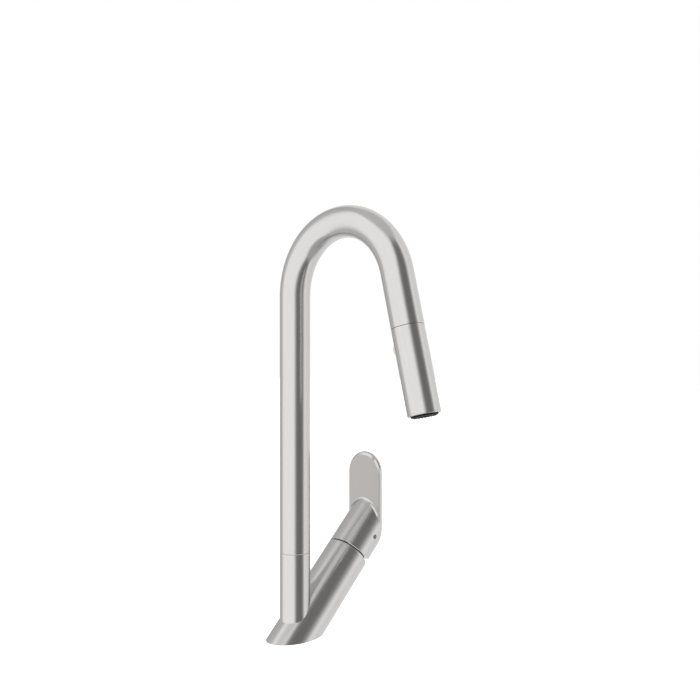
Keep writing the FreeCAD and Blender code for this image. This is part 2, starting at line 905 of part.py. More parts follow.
def build():
    save("body_casting", body_casting())
    save("foot_seal", foot_groove())
    save("mounting_shank", shank())
    gasket, washer, nut, screws = clamp_parts()
    save("clamp_gasket", gasket)
    save("clamp_washer", washer)
    save("mounting_nut", nut)
    save("clamp_screws", screws)
    cold, hot, mixed = nipples()
    save("supply_nipples", group([cold, hot]))
    save("outlet_nipple", mixed)

    save("swivel_post", swivel_post())
    save("thrust_ring", ring(post_r, tube_r - thrust_edge, stub_top, stub_top + thrust_height))
    save("post_bearings", post_bearings())
    save("friction_ring", friction_ring())
    save("retaining_clip", retaining_clip())

    save("cartridge_base", along_barrel(cartridge_base()))
    save("port_seals", along_barrel(port_seals()))
    save("fixed_disc", along_barrel(fixed_disc()))
    save("moving_disc", along_barrel(moving_disc()))
    save("disc_carrier", along_barrel(disc_carrier()))
    save("cartridge_housing", along_barrel(cartridge_housing()))
    save("cartridge_rotor", along_barrel(rotor()))
    save("spindle_pin", along_barrel(spindle_pin()))
    save("lever_spindle", along_barrel(lever_spindle()))
    save("cartridge_nut", along_barrel(cartridge_nut()))
    save("dome_cover", along_barrel(dome_cover()))
    save("handle", handle())
    save("set_screw", along_barrel(set_screw()))

    save("spout_tube", spout_tube())
    save("spout_liner", spout_liner())
    save("stop_screw", stop_screw())
    save("outlet_collar", at_head(outlet_collar()))
    save("docking_magnet", at_head(docking_magnet()))
    hose, stretch = hose_parts()
    save("spray_hose", hose)
    save("spray_hose_outlet", stretch)
    save("hose_end_fitting", hose_end_fitting())

    coupling, washer = coupling_parts()
    save("hose_coupling", at_head(coupling))
    save("coupling_washer", at_head(washer))
    save("head_shell", at_head(head_shell()))
    save("head_core", at_head(head_core()))
    save("keeper_ring", at_head(keeper_ring()))
    save("check_valve", at_head(check_valve()))
    save("spray_button", at_head(spray_button()))
    save("diverter_spool", at_head(diverter_spool()))
    save("button_spring", at_head(button_spring()))
    save("face_gasket", at_head(face_gasket()))
    save("spray_face", at_head(spray_face()))
    save("spray_nozzles", at_head(spray_nozzles()))
    save("aerator", at_head(aerator()))


build()
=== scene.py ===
import bpy
import bmesh
import json
import math
import numpy as np
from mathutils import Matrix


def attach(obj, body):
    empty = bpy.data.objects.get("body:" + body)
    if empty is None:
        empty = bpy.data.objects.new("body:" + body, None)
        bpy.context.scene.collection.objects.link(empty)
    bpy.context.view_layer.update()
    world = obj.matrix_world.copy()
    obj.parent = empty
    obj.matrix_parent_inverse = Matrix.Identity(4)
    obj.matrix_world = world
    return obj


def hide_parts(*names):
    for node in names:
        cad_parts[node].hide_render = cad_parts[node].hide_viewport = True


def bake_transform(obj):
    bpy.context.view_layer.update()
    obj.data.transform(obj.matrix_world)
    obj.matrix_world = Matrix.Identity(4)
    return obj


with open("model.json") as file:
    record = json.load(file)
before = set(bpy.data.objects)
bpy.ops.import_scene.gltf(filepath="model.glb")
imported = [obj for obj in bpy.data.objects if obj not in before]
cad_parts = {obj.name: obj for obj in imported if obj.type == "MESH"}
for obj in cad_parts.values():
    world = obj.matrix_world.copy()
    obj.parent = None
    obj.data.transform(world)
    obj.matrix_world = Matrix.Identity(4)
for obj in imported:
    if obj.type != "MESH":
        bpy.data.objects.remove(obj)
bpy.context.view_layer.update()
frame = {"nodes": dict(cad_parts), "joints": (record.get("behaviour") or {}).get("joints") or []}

# Pull-down kitchen faucet in satin brushed stainless steel. Sizes are in metres, on the frame's axes.
mm = 0.001

jointBy = {joint["name"]: joint for joint in frame["joints"]}
barrelAxis = np.array(jointBy["temperature_turn"]["axis"])
barrelDown = np.array([barrelAxis[2], 0.0, -barrelAxis[0]])   # across the barrel, on its lower side
across = np.array([0.0, 1.0, 0.0])
lean = math.atan2(barrelAxis[0], barrelAxis[2])
outletWay = np.array(jointBy["head_pull"]["axis"])
bendAngle = math.atan2(-outletWay[1], outletWay[2])
headFront = np.array([0.0, math.cos(bendAngle), math.sin(bendAngle)])
xAxis = np.array([1.0, 0.0, 0.0])

spout = {
    "radius": 15.0 * mm, "wall": 1.5 * mm, "rim": 0.18 * mm,
    "low": 83.7 * mm, "bendStart": 335.5 * mm, "bendRadius": 67.0 * mm, "straight": 50.4 * mm,
    "headGap": 0.3 * mm, "columns": 144, "uprightRows": 70, "bendRows": 150, "outletRows": 24,
}
bendEnd = np.array([
    0.0,
    -spout["bendRadius"] * (1 - math.cos(bendAngle)),
    spout["bendStart"] + spout["bendRadius"] * math.sin(bendAngle),
])
headTop = bendEnd + outletWay * spout["straight"]


def onBarrel(down, side, along):
    # a point from its distances below the barrel's axis, to the side and along it
    return down[..., None] * barrelDown + side[..., None] * across + along[..., None] * barrelAxis


def onHead(x, front, along):
    # a point from its distances across, in front of and down the spray head's axis
    return headTop + x[..., None] * xAxis + front[..., None] * headFront + along[..., None] * outletWay


def ringAngles(count):
    return np.arange(count) * 2 * math.pi / count


def gridFaces(rows, columns, closeRows=False, start=0):
    # quads of a grid whose columns run round and, if asked, whose last row meets the first
    row = np.arange(rows if closeRows else rows - 1)[:, None]
    column = np.arange(columns)[None, :]
    nextRow = (row + 1) % rows
    nextColumn = (column + 1) % columns
    corners = [row * columns + column, row * columns + nextColumn,
               nextRow * columns + nextColumn, nextRow * columns + column]
    return np.stack(np.broadcast_arrays(*corners), -1).reshape(-1, 4) + start


def roundedPath(corners, arcSteps=5):
    # an outline whose corners are rounded: each corner is (radius, height, rounding), and an arc
    # tangent to both of its sides takes the place of the corner
    points = []
    count = len(corners)
    for index, (r, z, rounding) in enumerate(corners):
        corner = np.array([r, z])
        if rounding <= 0:
            points.append(corner)
            continue
        before = np.array(corners[index - 1][:2]) - corner
        after = np.array(corners[(index + 1) % count][:2]) - corner
        before /= np.linalg.norm(before)
        after /= np.linalg.norm(after)
        half = math.acos(np.clip(np.dot(before, after), -1, 1)) / 2
        reach = rounding / math.tan(half)
        middle = (before + after) / np.linalg.norm(before + after)
        centre = corner + middle * rounding / math.sin(half)
        first = corner + before * reach - centre
        last = corner + after * reach - centre
        turn = math.pi - 2 * half
        for step in np.linspace(0, 1, arcSteps + 1):
            way = (first * math.sin((1 - step) * turn) + last * math.sin(step * turn)) / math.sin(turn)
            points.append(centre + way)
    return np.array(points)


def pathLength(points):
    steps = np.linalg.norm(np.diff(points, axis=0), axis=-1)
    return np.concatenate([[0], np.cumsum(steps)])


def surfacePiece(name, points, faces, uv=None, sharpAngle=34, welded=1e-6):
    # puts arrays of points and faces into a mesh, welds coincident points and turns faces outwards
    mesh = bpy.data.meshes.new(name)
    points = np.asarray(points, float).reshape(-1, 3)
    mesh.from_pydata(points.tolist(), [], [list(face) for face in np.asarray(faces).tolist()])
    if uv is not None:
        layer = mesh.uv_layers.new(name="surface")
        loopPoint = np.empty(len(mesh.loops), np.int32)
        mesh.loops.foreach_get("vertex_index", loopPoint)
        flat = np.asarray(uv, float).reshape(-1, 2)[loopPoint]
        layer.data.foreach_set("uv", flat.astype(np.float32).ravel())
    work = bmesh.new()
    work.from_mesh(mesh)
    bmesh.ops.remove_doubles(work, verts=work.verts, dist=welded)
    bmesh.ops.dissolve_degenerate(work, edges=work.edges, dist=1e-7)
    bmesh.ops.recalc_face_normals(work, faces=work.faces)
    if work.calc_volume(signed=True) < 0:
        bmesh.ops.reverse_faces(work, faces=work.faces)
    work.to_mesh(mesh)
    work.free()
    mesh.shade_smooth()
    mesh.set_sharp_from_angle(angle=math.radians(sharpAngle))
    piece = bpy.data.objects.new(name, mesh)
    bpy.context.scene.collection.objects.link(piece)
    return piece


def standFor(piece, body, nodes, material):
    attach(piece, body)
    if nodes:
        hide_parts(*nodes)
    piece.data.materials.append(material)
    return piece


def linearColour(hexText):
    # sRGB hex to linear light
    values = [int(hexText[i:i + 2], 16) / 255 for i in (0, 2, 4)]
    linear = [v / 12.92 if v <= 0.04045 else ((v + 0.055) / 1.055) ** 2.4 for v in values]
    return (*linear, 1.0)


def addNode(tree, kind, settings=None, links=None):
    # one node, its sockets or properties set by name, and its inputs linked by name
    node = tree.nodes.new(kind)
    for key, value in (settings or {}).items():
        if key in node.inputs:
            node.inputs[key].default_value = value
        else:
            setattr(node, key, value)
    for key, source in (links or {}).items():
        tree.links.new(source, node.inputs[key])
    return node


def newMaterial(name, **shader):
    material = bpy.data.materials.new(name)
    material.use_nodes = True
    tree = material.node_tree
    principled = tree.nodes["Principled BSDF"]
    for key, value in shader.items():
        principled.inputs[key].default_value = value
    return material, tree, principled


def spanOf(tree, source, low, high):
    # spreads a 0 to 1 value between two numbers
    node = addNode(tree, "ShaderNodeMapRange", {"To Min": low, "To Max": high}, {"Value": source})
    return node.outputs["Result"]


def colourBetween(tree, source, lowHex, highHex):
    ramp = addNode(tree, "ShaderNodeValToRGB", links={"Fac": source})
    ramp.color_ramp.elements[0].color = linearColour(lowHex)
    ramp.color_ramp.elements[1].color = linearColour(highHex)
    return ramp.outputs["Color"]


def bumpFrom(tree, principled, source, strength, depth):
    bump = addNode(tree, "ShaderNodeBump", {"Strength": strength, "Distance": depth}, {"Height": source})
    tree.links.new(bump.outputs["Normal"], principled.inputs["Normal"])


def brushedStainless(name, uvMap=True, grain=(900.0, 26.0)):
    # 304 stainless, belt brushed along the tube to a satin: soft wide highlights, faint lines
    material, tree, principled = newMaterial(
        name, Metallic=1.0, Roughness=steel["roughness"], **{"Base Color": linearColour(steel["colour"])})
    if uvMap:
        place = addNode(tree, "ShaderNodeUVMap", {"uv_map": "surface"}).outputs["UV"]
    else:
        place = addNode(tree, "ShaderNodeTexCoord").outputs["Object"]
    scaled = addNode(tree, "ShaderNodeMapping", {"Scale": (grain[0], grain[1], grain[0])}, {"Vector": place})
    lines = addNode(tree, "ShaderNodeTexNoise", {"Scale": 1.0, "Detail": 3.0, "Roughness": 0.6},
                    {"Vector": scaled.outputs["Vector"]}).outputs["Fac"]
    body = addNode(tree, "ShaderNodeTexCoord").outputs["Object"]
    cloud = addNode(tree, "ShaderNodeTexNoise", {"Scale": 22.0, "Detail": 2.0},
                    {"Vector": body}).outputs["Fac"]
    mixed = addNode(tree, "ShaderNodeMath", {"operation": "MULTIPLY_ADD"}, {"Value": cloud})
    mixed.inputs[1].default_value = 0.35
    tree.links.new(lines, mixed.inputs[2])
    tree.links.new(spanOf(tree, mixed.outputs["Value"], steel["roughness"] - 0.05, steel["roughness"] + 0.05),
                   principled.inputs["Roughness"])
    tree.links.new(colourBetween(tree, lines, steel["dark"], steel["light"]), principled.inputs["Base Color"])
    bumpFrom(tree, principled, lines, 0.10, 0.02 * mm)
    return material


# one grey here is painted shade: the darker colour that the lever's flat face is mixed towards
steel = {"colour": "D3D1CF", "dark": "CCCAC8", "light": "D9D7D5", "faceShade": "B5B1AF",
         "roughness": 0.18, "blasted": 0.16, "faceEdge": 0.970, "faceFlat": 0.995}


def paddleWithPaintedShade(name):
    # brushed stainless with a flat face that is blasted, so rougher, and painted darker: the darker colour is
    # painted shade for the dim part of the studio that the face reflects. Which face it is comes from the
    # piece's own normals
    material = brushedStainless(name, uvMap=False, grain=(500.0, 500.0))
    tree = material.node_tree
    principled = tree.nodes["Principled BSDF"]
    normal = addNode(tree, "ShaderNodeTexCoord").outputs["Normal"]
    facing = addNode(tree, "ShaderNodeVectorMath", {"operation": "DOT_PRODUCT"}, {0: normal})
    facing.inputs[1].default_value = (-1.0, 0.0, 0.0)
    flat = addNode(tree, "ShaderNodeMapRange", {"From Min": steel["faceEdge"], "From Max": steel["faceFlat"]},
                   {"Value": facing.outputs["Value"]}).outputs["Result"]
    colour = principled.inputs["Base Color"].links[0].from_socket
    gloss = principled.inputs["Roughness"].links[0].from_socket
    # painted shade: the flat face's colour is mixed towards a darker grey
    darker = addNode(tree, "ShaderNodeMix", {"data_type": "RGBA"}, {"Factor": flat})
    sides = [socket for socket in darker.inputs if socket.type == "RGBA"]
    tree.links.new(colour, sides[0])
    sides[1].default_value = linearColour(steel["faceShade"])
    tree.links.new([socket for socket in darker.outputs if socket.type == "RGBA"][0],
                   principled.inputs["Base Color"])
    blasted = addNode(tree, "ShaderNodeMath", {"operation": "MULTIPLY"}, {0: flat})
    blasted.inputs[1].default_value = steel["blasted"]
    total = addNode(tree, "ShaderNodeMath", {"operation": "ADD"}, {0: gloss, 1: blasted.outputs[0]})
    tree.links.new(total.outputs[0], principled.inputs["Roughness"])
    return material


def turnedMetal(name, darkHex, lightHex, roughness, pitch=0.25 * mm):
    # lathe-turned metal: fine rings of tool marks, drawn coarser than real so that they show
    material, tree, principled = newMaterial(name, Metallic=1.0, Roughness=roughness)
    place = addNode(tree, "ShaderNodeTexCoord").outputs["Object"]
    marks = addNode(tree, "ShaderNodeTexWave", {"Scale": 0.05 / pitch, "Distortion": 1.5, "Detail": 2.0,
                                               "bands_direction": "Z"}, {"Vector": place}).outputs["Fac"]
    cloud = addNode(tree, "ShaderNodeTexNoise", {"Scale": 180.0, "Detail": 4.0},
                    {"Vector": place}).outputs["Fac"]
    tree.links.new(colourBetween(tree, cloud, darkHex, lightHex), principled.inputs["Base Color"])
    tree.links.new(spanOf(tree, marks, roughness - 0.06, roughness + 0.08), principled.inputs["Roughness"])
    bumpFrom(tree, principled, marks, 0.15, 0.03 * mm)
    return material


def mouldedPlastic(name, darkHex, lightHex, roughness, grainSize=0.4 * mm, depth=0.02 * mm, coat=0.0,
                   gloss=0.5):
    # injection moulded plastic or rubber: even colour with a fine spark-eroded grain
    material, tree, principled = newMaterial(
        name, Roughness=roughness, **{"Coat Weight": coat, "Specular IOR Level": gloss})
    place = addNode(tree, "ShaderNodeTexCoord").outputs["Object"]
    grain = addNode(tree, "ShaderNodeTexNoise", {"Scale": 1 / grainSize * 0.5, "Detail": 2.0},
                    {"Vector": place}).outputs["Fac"]
    cloud = addNode(tree, "ShaderNodeTexNoise", {"Scale": 60.0, "Detail": 3.0},
                    {"Vector": place}).outputs["Fac"]
    tree.links.new(colourBetween(tree, cloud, darkHex, lightHex), principled.inputs["Base Color"])
    tree.links.new(spanOf(tree, grain, roughness - 0.07, roughness + 0.07), principled.inputs["Roughness"])
    bumpFrom(tree, principled, grain, 0.3, depth)
    return material


def braidedNylon(name, turns=12, pitch=9.0 * mm):
    # nylon yarns braided over a hose: two families of helical ribs that pass over and under
    material, tree, principled = newMaterial(name, Roughness=0.55, **{"Sheen Weight": 0.25})
    place = addNode(tree, "ShaderNodeUVMap", {"uv_map": "surface"}).outputs["UV"]
    parts = addNode(tree, "ShaderNodeSeparateXYZ", links={"Vector": place})
    ribs = []
    for sign in (1.0, -1.0):
        turn = addNode(tree, "ShaderNodeMath", {"operation": "MULTIPLY"}, {0: parts.outputs["Y"]})
        turn.inputs[1].default_value = sign * turns / pitch
        total = addNode(tree, "ShaderNodeMath", {"operation": "MULTIPLY_ADD"}, {0: parts.outputs["X"]})
        total.inputs[1].default_value = turns
        tree.links.new(turn.outputs[0], total.inputs[2])
        angle = addNode(tree, "ShaderNodeMath", {"operation": "MULTIPLY"}, {0: total.outputs[0]})
        angle.inputs[1].default_value = 2 * math.pi
        ribs.append(addNode(tree, "ShaderNodeMath", {"operation": "SINE"}, {0: angle.outputs[0]}).outputs[0])
    weave = addNode(tree, "ShaderNodeMath", {"operation": "MULTIPLY"}, {0: ribs[0], 1: ribs[1]}).outputs[0]
    height = addNode(tree, "ShaderNodeMapRange", {"From Min": -1.0, "From Max": 1.0}, {"Value": weave})
    # painted light and shade: the yarn colour follows the weave's height, darker in its low parts and paler
    # on its high ones
    yarnWithWeaveShade = colourBetween(tree, height.outputs["Result"], "26272A", "6C6E72")
    tree.links.new(yarnWithWeaveShade, principled.inputs["Base Color"])
    bumpFrom(tree, principled, height.outputs["Result"], 0.7, 0.35 * mm)
    return material


def makeMaterials():
    made = {
        # soft wide highlights with faint lines along the tube
        "satinSteel": brushedStainless("brushed stainless steel, satin belt finish"),
        "satinSteelCad": brushedStainless(
            "brushed stainless steel, turned satin", uvMap=False, grain=(500.0, 500.0)),
        # brushed, with the lever's flat face painted darker as shade for the dim studio it reflects
        "paintedShadeSteel": paddleWithPaintedShade("stainless steel lever, flat face ground and blasted"),
        # painted shade: the stainless dome cover is coloured nearly black, so that the gap under the lever
        # reads as a dark line
        "gapShadeSteel": turnedMetal("stainless steel, painted dark as gap shade", "48484A", "58585A", 0.38),
        # warm yellow with rings of tool marks, seen on the drawn-out hose's fitting
        "brass": turnedMetal("brass, lathe turned", "A8823E", "C6A25A", 0.30),
        # pale grey, brighter and tighter in its highlights than the brushed pieces
        "plainSteel": turnedMetal("stainless steel, lathe turned", "B4B4B2", "D2D1CE", 0.26),
        # black and dull, with no clear highlight
        "rubber": mouldedPlastic(
            "nitrile rubber, compression moulded", "141414", "232323", 0.62, 0.8 * mm),
        # milky white with a soft sheen
        "acetal": mouldedPlastic("acetal, injection moulded", "DDDCD6", "ECEBE6", 0.38),
        # mid grey and even
        "greyPlastic": mouldedPlastic(
            "polyphenylene plastic, injection moulded", "6B6D70", "808286", 0.45),
        # cream white and nearly mirror smooth
        "ceramic": mouldedPlastic(
            "alumina ceramic, lapped", "E6E2D8", "F3F0E8", 0.16, 0.2 * mm, 0.004 * mm, 0.3),
        # charcoal with a stony grain
        "magnet": mouldedPlastic("ferrite magnet, sintered", "2B2B2E", "3B3B3F", 0.5, 0.5 * mm),
        # close to black, with little gloss, so the outlet looks deep
        "insert": mouldedPlastic("ABS, moulded black", "0A0A0B", "101012", 0.42, gloss=0.2),
        # black and matt, a little greyer than the face round the nozzles
        "silicone": mouldedPlastic("silicone rubber, moulded black", "17181A", "242528", 0.5, 0.3 * mm),
        # dark grey yarns, with painted light and shade: paler where the weave stands high, darker where it
        # lies low
        "braid": braidedNylon("nylon braid over hose"),
    }
    print("materials made:", len(made))
    return made


paint = makeMaterials()

nodeFinish = {
    "brass": ["mounting_shank", "mounting_nut", "supply_nipples", "outlet_nipple", "swivel_post",
              "cartridge_nut", "hose_end_fitting", "hose_coupling"],
    "plainSteel": ["clamp_washer", "clamp_screws", "retaining_clip", "spindle_pin",
                   "lever_spindle", "set_screw", "stop_screw", "keeper_ring", "button_spring"],
    "rubber": ["foot_seal", "clamp_gasket", "friction_ring", "port_seals", "coupling_washer", "face_gasket"],
    "acetal": ["thrust_ring", "post_bearings", "cartridge_rotor", "disc_carrier", "spout_liner",
               "outlet_collar", "head_core", "check_valve", "diverter_spool"],
    "greyPlastic": ["cartridge_base", "cartridge_housing"],
    "ceramic": ["fixed_disc", "moving_disc"],
    "magnet": ["docking_magnet"],
    "insert": ["spray_face", "aerator"],
    # the dome cover is painted near black as shade in the gap under the lever
    "gapShadeSteel": ["dome_cover"],
    "silicone": ["spray_nozzles"],
    "satinSteelCad": ["spray_button"],
    # the lever, its flat face carrying painted shade
    "paintedShadeSteel": ["handle"],
}


def finishNodes():
    for finish, names in nodeFinish.items():
        for name in names:
            for place in frame["nodes"][name].material_slots:
                place.material = paint[finish]
    print("CAD nodes finished:", sum(len(names) for names in nodeFinish.values()))


def alongTube(distance):
    # the tube's centre line from where its bend starts: straight down before it, an arc, then
    # straight on. Gives the point and the direction across the tube, away from the bend's centre
    turn = np.clip(distance / spout["bendRadius"], 0, bendAngle)
    before = np.minimum(distance, 0)
    after = np.maximum(distance - spout["bendRadius"] * bendAngle, 0)
    y = -spout["bendRadius"] * (1 - np.cos(turn)) - np.sin(turn) * after
    z = spout["bendStart"] + spout["bendRadius"] * np.sin(turn) + before + np.cos(turn) * after
    centre = np.stack([np.zeros_like(y), y, z], -1)
    outward = np.stack([np.zeros_like(y), np.cos(turn), np.sin(turn)], -1)
    return centre, outward


def tubeStations():
    # rows spread over the upright, the bend and the outlet, each stretch evenly
    bendLength = spout["bendRadius"] * bendAngle
    low = spout["low"] - spout["bendStart"]
    high = bendLength + spout["straight"] - spout["headGap"] / 2
    rim = spout["rim"]
    return np.unique(np.concatenate([
        np.linspace(low + rim, 0, spout["uprightRows"]),
        np.linspace(0, bendLength, spout["bendRows"]),
        np.linspace(bendLength, high - rim, spout["outletRows"]),
    ]))


def sweptGrid(distance, radius, columns):
    # carries a circle along the tube's centre line: its radius and place are given row by row
    centre, outward = alongTube(distance)
    angle = ringAngles(columns)[None, :, None]
    ray = np.cos(angle) * xAxis + np.sin(angle) * outward[:, None, :]
    return centre[:, None, :] + radius[:, None, None] * ray


def surfaceMap(points, radius):
    # map in metres: round the tube by the outer radius, and along it by the rows' own distance
    rows, columns = points.shape[:2]
    along = pathLength(points.mean(1))
    around = np.arange(columns) * 2 * math.pi * radius / columns
    return np.stack(np.broadcast_arrays(around[None, :], along[:, None]), -1)


def makeSpoutTube():
    stations = tubeStations()
    rim = spout["rim"]
    outer = spout["radius"]
    inner = outer - spout["wall"]
    bow = np.linspace(0, math.pi / 2, 5)
    endAway = rim * np.sin(bow[1:])
    endIn = rim * (1 - np.cos(bow[1:]))
    distance = np.concatenate([
        stations, stations[-1] + endAway, stations[-1] + endAway[::-1], stations[::-1],
        stations[0] - endAway, stations[0] - endAway[::-1]])
    radius = np.concatenate([
        np.full(len(stations), outer), outer - endIn, inner + endIn[::-1],
        np.full(len(stations), inner), inner + endIn, outer - endIn[::-1]])
    points = sweptGrid(distance, radius, spout["columns"])
    faces = gridFaces(len(distance), spout["columns"], closeRows=True)
    piece = surfacePiece("spoutTube", points, faces, surfaceMap(points, outer))
    standFor(piece, "spout", ["spout_tube"], paint["satinSteel"])
    print("spout tube:", len(piece.data.polygons), "faces")


bodyShape = {
    "barrelRadius": 22.5 * mm, "top": 102.1 * mm, "bore": 17.7 * mm, "boreFloor": 72.0 * mm,
    "stubTop": 83.2 * mm, "stubBore": 11.2 * mm, "stubBoreFloor": 60.2 * mm, "rim": 0.2 * mm,
    "shankRadius": 16.5 * mm, "socket": 14.0 * mm, "footRim": 0.3 * mm,
    "sink": 0.6 * mm, "columns": 192, "wallRows": 60,
}


def makeBarrel():
    # the barrel's wall runs from the level foot, where along = down * tan(lean), to its round top
    size = bodyShape
    angle = ringAngles(size["columns"])
    down = np.cos(angle)
    side = np.sin(angle)
    radius = size["barrelRadius"]
    footAlong = radius * down * math.tan(lean)
    rows = []
    for share in np.linspace(0, 1, size["wallRows"]):
        first = footAlong + size["footRim"]
        along = first + share * (size["top"] - size["rim"] - first)
        rows.append(onBarrel(radius * down, radius * side, along))
    path = roundedPath([(radius, size["top"] - 2 * mm, 0), (radius, size["top"], size["rim"]),
                        (size["bore"], size["top"], 0.25 * mm), (size["bore"], size["boreFloor"], 0),
                        (0.0, size["boreFloor"], 0)], 5)[1:]
    for ringRadius, along in path:
        rows.append(onBarrel(ringRadius * down, ringRadius * side, np.full_like(down, along)))
    # under the foot: level from the oval outline to the shank's socket, then up the socket
    oval = rows[0].copy()
    oval[:, 2] = 0.0
    oval[:, :2] *= 1 - size["footRim"] / radius
    around = np.arctan2(oval[:, 1], oval[:, 0])
    circle = np.stack([np.cos(around), np.sin(around), np.zeros_like(around)], -1) * size["shankRadius"]
    below = [circle * 1e-6 + [0, 0, size["socket"]], circle + [0, 0, size["socket"]]]
    below += [circle + (oval - circle) * share for share in (0.0, 0.33, 0.66, 1.0)]
    points = np.array(below + rows)
    faces = gridFaces(len(points), size["columns"])
    return points, faces, surfaceMap(points, radius)


def makeStub(start):
    # the stub's wall starts where it comes out of the barrel: a point at (x, y) of its circle is on
    # the barrel's wall at z = (x * cos(lean) + sqrt(barrel radius^2 - y^2)) / sin(lean)
    size = bodyShape
    angle = ringAngles(size["columns"])
    x = spout["radius"] * np.cos(angle)
    y = spout["radius"] * np.sin(angle)
    wall = np.sqrt(size["barrelRadius"] ** 2 - y ** 2)
    low = (x * math.cos(lean) + wall) / math.sin(lean) - size["sink"]
    top = size["stubTop"] - size["rim"]
    rows = [np.stack([x * 1e-6, y * 1e-6, np.full_like(x, low.min())], -1)]
    for share in np.linspace(0, 1, 40):
        rows.append(np.stack([x, y, low + share * (top - low)], -1))
    path = roundedPath([(spout["radius"], top - 2 * mm, 0), (spout["radius"], size["stubTop"], size["rim"]),
                        (size["stubBore"], size["stubTop"], 0.2 * mm),
                        (size["stubBore"], size["stubBoreFloor"], 0), (0.0, size["stubBoreFloor"], 0)], 5)[1:]
    for ringRadius, height in path:
        rows.append(np.stack([ringRadius * np.cos(angle), ringRadius * np.sin(angle),
                              np.full_like(x, height)], -1))
    points = np.array(rows)
    faces = gridFaces(len(points), size["columns"], start=start)
    return points, faces, surfaceMap(points, spout["radius"])


def makeBody():
    barrelPoints, barrelFaces, barrelMap = makeBarrel()
    stubPoints, stubFaces, stubMap = makeStub(barrelPoints.shape[0] * barrelPoints.shape[1])
    points = np.concatenate([barrelPoints.reshape(-1, 3), stubPoints.reshape(-1, 3)])
    uv = np.concatenate([barrelMap.reshape(-1, 2), stubMap.reshape(-1, 2)])
    piece = surfacePiece("bodyCasting", points, np.concatenate([barrelFaces, stubFaces]), uv)
    standFor(piece, "root", ["body_casting"], paint["satinSteel"])
    print("body casting:", len(piece.data.polygons), "faces")


headShape = {
    "radius": 15.0 * mm, "length": 78.2 * mm, "wall": 1.6 * mm, "neckHole": 8.9 * mm,
    "topWall": 2.0 * mm, "lipBore": 12.5 * mm, "lip": 1.6 * mm, "rim": 0.18 * mm, "endRim": 0.8 * mm,
    "windowAt": 17.2 * mm, "windowRadius": 5.5 * mm, "columns": 160, "windowCells": 22,
    "windowRings": 5,
}


def shellRows():
    # the shell's closed outline, with the window's rows evenly spaced on the outer and inner walls
    size = headShape
    top = spout["headGap"] / 2
    inner = size["radius"] - size["wall"]
    cell = 2 * math.pi * size["radius"] / size["columns"]
    half = cell * size["windowCells"] / 2
    band = size["windowAt"] + np.linspace(-half, half, size["windowCells"] + 1)
    outside = roundedPath([(size["neckHole"], top, 0), (size["radius"], top, size["rim"]),
                           (size["radius"], top + 2 * mm, 0)])[:-1]
    upper = np.linspace(top + 1 * mm, band[0], 12)[:-1]
    lower = np.linspace(band[-1], size["length"] - size["endRim"], 44)[1:-1]
    wallHeights = np.concatenate([upper, band, lower])
    end = roundedPath([(size["radius"], size["length"] - 4 * mm, 0),
                       (size["radius"], size["length"], size["endRim"]),
                       (size["lipBore"], size["length"], 0.2 * mm),
                       (size["lipBore"], size["length"] - size["lip"], 0),
                       (inner, size["length"] - size["lip"], 0)], 6)[1:]
    innerHeights = wallHeights[::-1]
    closing = np.array([(inner, top + size["topWall"]), (size["neckHole"], top + size["topWall"])])
    path = np.concatenate([
        outside, np.stack([np.full_like(wallHeights, size["radius"]), wallHeights], -1), end,
        np.stack([np.full_like(innerHeights, inner), innerHeights], -1)[1:-9], closing])
    return path, band, half


def windowPatch(radius, half):
    # between the square border of the window and its round hole: the border's points are moved
    # towards the hole ring by ring, on a cylinder of the given radius
    size = headShape
    cells = size["windowCells"]
    step = np.linspace(-half, half, cells + 1)
    low = np.full(cells, -half)
    arc = np.concatenate([step[:-1], -low, step[::-1][:-1], low])
    height = np.concatenate([low, step[:-1], -low, step[::-1][:-1]])
    angle = arc / size["radius"]
    way = np.arctan2(height, arc)
    holeX = size["windowRadius"] * np.cos(way)
    holeHeight = size["windowRadius"] * np.sin(way)
    share = np.linspace(0, 1, size["windowRings"] + 1)[:, None]
    turned = angle * (1 - share) + np.arcsin(holeX / radius) * share
    along = size["windowAt"] + height * (1 - share) + holeHeight * share
    # the window faces the column, which is the head's back
    return onHead(radius * np.sin(turned), -radius * np.cos(turned), along)


def makeHeadShell():
    size = headShape
    path, band, half = shellRows()
    # a column line falls on the middle of the back, so that the window's border meets the grid
    angle = ringAngles(size["columns"])[None, :] - math.pi / 2
    x = path[:, 0][:, None] * np.cos(angle)
    front = path[:, 0][:, None] * np.sin(angle)
    along = np.broadcast_to(path[:, 1][:, None], x.shape)
    points = onHead(x, front, along)
    faces = gridFaces(len(path), size["columns"], closeRows=True)
    # faces of the two walls that lie in the window's square are left out
    onWall = np.abs(path[faces[:, 0] // size["columns"], 0] - path[faces[:, 2] // size["columns"], 0]) < 1e-9
    middle = path[faces[:, 0] // size["columns"], 1] / 2 + path[faces[:, 2] // size["columns"], 1] / 2
    columnNumber = faces[:, 0] % size["columns"]
    fromBack = np.minimum(columnNumber + 0.5, size["columns"] - columnNumber - 0.5)
    inSquare = onWall & (np.abs(middle - size["windowAt"]) < half) & (fromBack < size["windowCells"] / 2)
    uv = surfaceMap(points, size["radius"])
    outerPatch = windowPatch(size["radius"], half)
    innerPatch = windowPatch(size["radius"] - size["wall"], half)
    patch = np.concatenate([outerPatch, innerPatch[::-1]])
    count = patch.shape[1]
    patchFaces = gridFaces(len(patch), count, start=points.shape[0] * points.shape[1])
    patchUv = np.stack([patch[..., 0], patch[..., 2]], -1)
    piece = surfacePiece(
        "headShell", np.concatenate([points.reshape(-1, 3), patch.reshape(-1, 3)]),
        np.concatenate([faces[~inSquare], patchFaces]),
        np.concatenate([uv.reshape(-1, 2), patchUv.reshape(-1, 2)]), welded=2e-6)
    standFor(piece, "spray_head", ["head_shell"], paint["satinSteel"])
    print("head shell:", len(piece.data.polygons), "faces")


